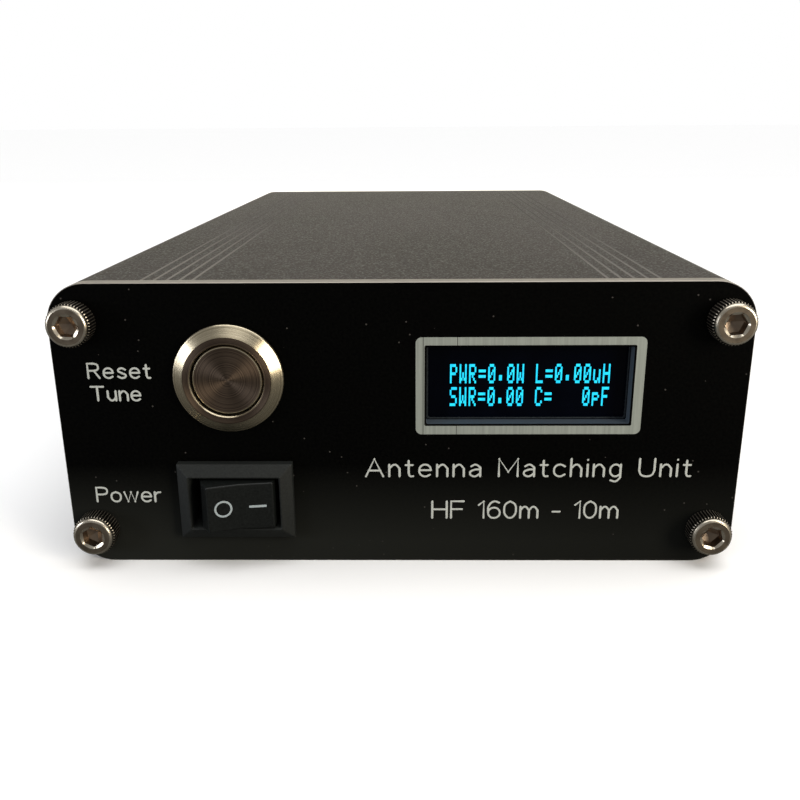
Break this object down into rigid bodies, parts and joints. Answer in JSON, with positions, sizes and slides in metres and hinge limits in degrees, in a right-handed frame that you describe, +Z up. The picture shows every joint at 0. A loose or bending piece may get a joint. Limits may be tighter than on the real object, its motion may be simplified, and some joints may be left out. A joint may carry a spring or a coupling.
{
  "type": "antenna tuner",
  "caption": "Small automatic antenna tuner in a flat extruded aluminium case, with a push button, a rocker power switch and a two-line display in front and coax sockets behind.",
  "frame": {"origin": "centre of the case's flat bottom face", "axes": "+X right seen from the front, +Y from the front panel to the rear panel, +Z up"},
  "size_m": [0.088, 0.1718, 0.038],
  "materials": {
    "case_anodised": "satin grit-blasted, anodised dark grey",
    "panel_anodised": "satin black anodised, cut edges bare",
    "screw_steel": "turned, nickel bright",
    "button_metal": "turned, warm nickel",
    "button_turned": "fine turned face",
    "spring_steel": "drawn wire",
    "gasket_rubber": "matt",
    "nickel_plate": "nickel plated",
    "brass_contact": "bright",
    "black_plastic": "moulded",
    "rocker_plastic": "moulded nylon, slight sheen",
    "display_glass": "polished black glass over a lit dot display",
    "display_laminate": "solder mask",
    "board_laminate": "solder mask",
    "white_insulator": "moulded",
    "relay_case": "moulded",
    "wound_core": "enamelled wire",
    "ferrite_core": "sintered ferrite",
    "chip_plastic": "moulded",
    "capacitor_sleeve": "shrink sleeve"
  },
  "bodies": {
    "case": {"antenna_socket": "nickel_plate", "antenna_socket_contact": "brass_contact", "antenna_socket_insulator": "white_insulator", "antenna_socket_nut": "nickel_plate", "bottom_shell": "case_anodised", "bridge_transformer": "ferrite_core", "button_base": "black_plastic", "button_body": "button_metal", "button_gasket": "gasket_rubber", "button_nut": "nickel_plate", "button_spring": "spring_steel", "button_terminal_1": "brass_contact", "button_terminal_2": "brass_contact", "capacitor_relay_1": "relay_case", "capacitor_relay_2": "relay_case", "capacitor_relay_3": "relay_case", "capacitor_relay_4": "relay_case", "coil_1": "wound_core", "coil_2": "wound_core", "coil_3": "wound_core", "coil_4": "wound_core", "coil_5": "wound_core", "coil_relay_1": "relay_case", "coil_relay_2": "relay_case", "coil_relay_3": "relay_case", "coil_relay_4": "relay_case", "display_board": "display_laminate", "display_glass": "display_glass", "display_header": "chip_plastic", "front_panel": "panel_anodised", "front_screw_1": "screw_steel", "front_screw_2": "screw_steel", "front_screw_3": "screw_steel", "front_screw_4": "screw_steel", "main_board": "board_laminate", "microcontroller": "chip_plastic", "power_socket": "black_plastic", "power_socket_nut": "nickel_plate", "power_socket_pin": "brass_contact", "radio_socket": "nickel_plate", "radio_socket_contact": "brass_contact", "radio_socket_insulator": "white_insulator", "radio_socket_nut": "nickel_plate", "rear_panel": "panel_anodised", "rear_screw_1": "screw_steel", "rear_screw_2": "screw_steel", "rear_screw_3": "screw_steel", "rear_screw_4": "screw_steel", "relay_driver": "chip_plastic", "rocker_housing": "rocker_plastic", "rocker_terminal_1": "brass_contact", "rocker_terminal_2": "brass_contact", "supply_capacitor": "capacitor_sleeve", "top_shell": "case_anodised", "voltage_regulator": "chip_plastic"},
    "push_cap": {"button_cap": "button_turned"},
    "rocker": {"rocker_lever": "rocker_plastic", "rocker_plunger": "nickel_plate"},
    "contact_blade": {"rocker_contact": "brass_contact"}
  },
  "joints": [
    {"name": "button_press", "type": "slide", "parent": "case", "child": "push_cap", "axis": [0, 1, 0], "range_m": [0, 0.0012], "stiffness_N_per_m": 1500, "springref_m": -0.0012, "deforming": ["button_spring"]},
    {"name": "rocker_tilt", "type": "hinge", "parent": "case", "child": "rocker", "pos_m": [-0.0216, -0.0758, 0.0093], "axis": [0, 0, -1], "range_deg": [0, 24.8]},
    {"name": "contact_tilt", "type": "hinge", "parent": "case", "child": "contact_blade", "pos_m": [-0.0216, -0.0688, 0.0093], "axis": [0, 0, 1], "range_deg": [0, 16]}
  ],
  "couplings": [
    {"joint": "contact_tilt", "follows": "rocker_tilt", "ratio": 0.64516}
  ]
}
